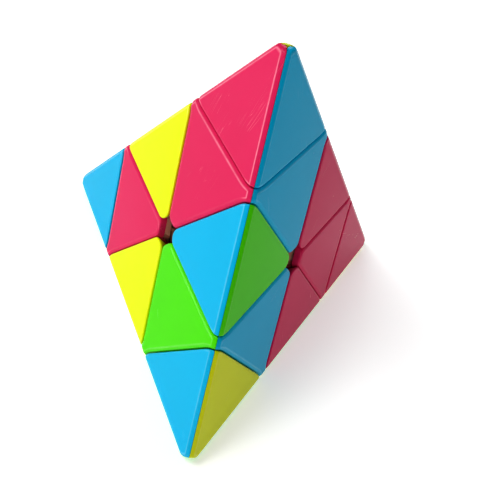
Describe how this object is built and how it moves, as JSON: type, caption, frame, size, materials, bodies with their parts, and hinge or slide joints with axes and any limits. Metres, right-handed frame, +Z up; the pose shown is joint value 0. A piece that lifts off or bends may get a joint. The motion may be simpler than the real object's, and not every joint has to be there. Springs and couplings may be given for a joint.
{
  "type": "pyramid twisty puzzle",
  "caption": "Tetrahedral twisty puzzle in coloured plastic: layers and tips turn about the axes through the corners, on a sprung internal core.",
  "frame": {"origin": "centre of the face that the puzzle rests on", "axes": "+Z up through the top corner, -Y towards the front corner, +X towards the right"},
  "size_m": [0.0984, 0.086, 0.0803],
  "materials": {
    "pink_plastic": "satin moulded plastic, lightly scratched",
    "blue_plastic": "satin moulded plastic, lightly scratched",
    "yellow_plastic": "satin moulded plastic",
    "green_plastic": "satin moulded plastic",
    "inner_plastic": "dull moulded plastic with grease and dust",
    "screw_steel": "zinc plated",
    "spring_steel": "drawn wire"
  },
  "bodies": {
    "core": {"core": "inner_plastic", "axis_screws": "screw_steel", "axis_washers": "screw_steel", "axis_springs": "spring_steel"},
    "top_axial": {"top_axial_hub": "inner_plastic", "top_axial_cap_yellow": "yellow_plastic", "top_axial_cap_pink": "pink_plastic", "top_axial_cap_blue": "blue_plastic"},
    "front_axial": {"front_axial_hub": "inner_plastic", "front_axial_cap_yellow": "yellow_plastic", "front_axial_cap_green": "green_plastic", "front_axial_cap_blue": "blue_plastic"},
    "right_axial": {"right_axial_hub": "inner_plastic", "right_axial_cap_yellow": "yellow_plastic", "right_axial_cap_green": "green_plastic", "right_axial_cap_pink": "pink_plastic"},
    "left_axial": {"left_axial_hub": "inner_plastic", "left_axial_cap_blue": "blue_plastic", "left_axial_cap_green": "green_plastic", "left_axial_cap_pink": "pink_plastic"},
    "top_tip": {"top_tip_peg": "inner_plastic", "top_tip_cap_yellow": "yellow_plastic", "top_tip_cap_pink": "pink_plastic", "top_tip_cap_blue": "blue_plastic"},
    "front_tip": {"front_tip_peg": "inner_plastic", "front_tip_cap_green": "green_plastic", "front_tip_cap_blue": "blue_plastic", "front_tip_cap_yellow": "yellow_plastic"},
    "right_tip": {"right_tip_peg": "inner_plastic", "right_tip_cap_yellow": "yellow_plastic", "right_tip_cap_green": "green_plastic", "right_tip_cap_pink": "pink_plastic"},
    "left_tip": {"left_tip_peg": "inner_plastic", "left_tip_cap_green": "green_plastic", "left_tip_cap_pink": "pink_plastic", "left_tip_cap_blue": "blue_plastic"},
    "top_left_edge": {"top_left_edge_foot": "inner_plastic", "top_left_edge_cap_green": "green_plastic", "top_left_edge_cap_yellow": "yellow_plastic"},
    "top_front_edge": {"top_front_edge_foot": "inner_plastic", "top_front_edge_cap_blue": "blue_plastic", "top_front_edge_cap_green": "green_plastic"},
    "top_right_edge": {"top_right_edge_foot": "inner_plastic", "top_right_edge_cap_blue": "blue_plastic", "top_right_edge_cap_pink": "pink_plastic"},
    "front_right_edge": {"front_right_edge_foot": "inner_plastic", "front_right_edge_cap_green": "green_plastic", "front_right_edge_cap_pink": "pink_plastic"},
    "left_right_edge": {"left_right_edge_foot": "inner_plastic", "left_right_edge_cap_pink": "pink_plastic", "left_right_edge_cap_yellow": "yellow_plastic"},
    "front_left_edge": {"front_left_edge_foot": "inner_plastic", "front_left_edge_cap_blue": "blue_plastic", "front_left_edge_cap_yellow": "yellow_plastic"}
  },
  "joints": [
    {"name": "top_layer_turn", "type": "hinge", "parent": "core", "child": "top_axial", "pos_m": [0, 0, 0.02123], "axis": [0, 0, 1], "range_deg": [-240, 120]},
    {"name": "front_layer_turn", "type": "hinge", "parent": "core", "child": "front_axial", "pos_m": [0, 0, 0.02123], "axis": [0, -0.9428, -0.3333], "range_deg": [-240, 120]},
    {"name": "right_layer_turn", "type": "hinge", "parent": "core", "child": "right_axial", "pos_m": [0, 0, 0.02123], "axis": [0.8165, 0.4714, -0.3333], "range_deg": [-240, 120]},
    {"name": "left_layer_turn", "type": "hinge", "parent": "core", "child": "left_axial", "pos_m": [0, 0, 0.02123], "axis": [-0.8165, 0.4714, -0.3333], "range_deg": [-240, 120]},
    {"name": "top_tip_turn", "type": "hinge", "parent": "top_axial", "child": "top_tip", "pos_m": [0, 0, 0.02123], "axis": [0, 0, 1], "continuous": true},
    {"name": "front_tip_turn", "type": "hinge", "parent": "front_axial", "child": "front_tip", "pos_m": [0, 0, 0.02123], "axis": [0, -0.9428, -0.3333], "continuous": true},
    {"name": "right_tip_turn", "type": "hinge", "parent": "right_axial", "child": "right_tip", "pos_m": [0, 0, 0.02123], "axis": [0.8165, 0.4714, -0.3333], "continuous": true},
    {"name": "left_tip_turn", "type": "hinge", "parent": "left_axial", "child": "left_tip", "pos_m": [0, 0, 0.02123], "axis": [-0.8165, 0.4714, -0.3333], "continuous": true},
    {"name": "top_left_edge_on_left_layer", "type": "hinge", "parent": "top_axial", "child": "top_left_edge", "pos_m": [0, 0, 0.02123], "axis": [-0.8165, 0.4714, -0.3333], "range_deg": [-240, 120]},
    {"name": "top_front_edge_on_front_layer", "type": "hinge", "parent": "top_axial", "child": "top_front_edge", "pos_m": [0, 0, 0.02123], "axis": [0, -0.9428, -0.3333], "range_deg": [-240, 120]},
    {"name": "top_right_edge_on_right_layer", "type": "hinge", "parent": "top_axial", "child": "top_right_edge", "pos_m": [0, 0, 0.02123], "axis": [0.8165, 0.4714, -0.3333], "range_deg": [-240, 120]},
    {"name": "front_right_edge_on_right_layer", "type": "hinge", "parent": "front_axial", "child": "front_right_edge", "pos_m": [0, 0, 0.02123], "axis": [0.8165, 0.4714, -0.3333], "range_deg": [-240, 120]},
    {"name": "left_right_edge_on_left_layer", "type": "hinge", "parent": "right_axial", "child": "left_right_edge", "pos_m": [0, 0, 0.02123], "axis": [-0.8165, 0.4714, -0.3333], "range_deg": [-240, 120]},
    {"name": "front_left_edge_on_front_layer", "type": "hinge", "parent": "left_axial", "child": "front_left_edge", "pos_m": [0, 0, 0.02123], "axis": [0, -0.9428, -0.3333], "range_deg": [-240, 120]}
  ],
  "couplings": [
    {"joint": "top_left_edge_on_left_layer", "follows": "left_layer_turn", "ratio": 1},
    {"joint": "top_front_edge_on_front_layer", "follows": "front_layer_turn", "ratio": 1},
    {"joint": "top_right_edge_on_right_layer", "follows": "right_layer_turn", "ratio": 1},
    {"joint": "front_right_edge_on_right_layer", "follows": "right_layer_turn", "ratio": 1},
    {"joint": "left_right_edge_on_left_layer", "follows": "left_layer_turn", "ratio": 1},
    {"joint": "front_left_edge_on_front_layer", "follows": "front_layer_turn", "ratio": 1}
  ]
}
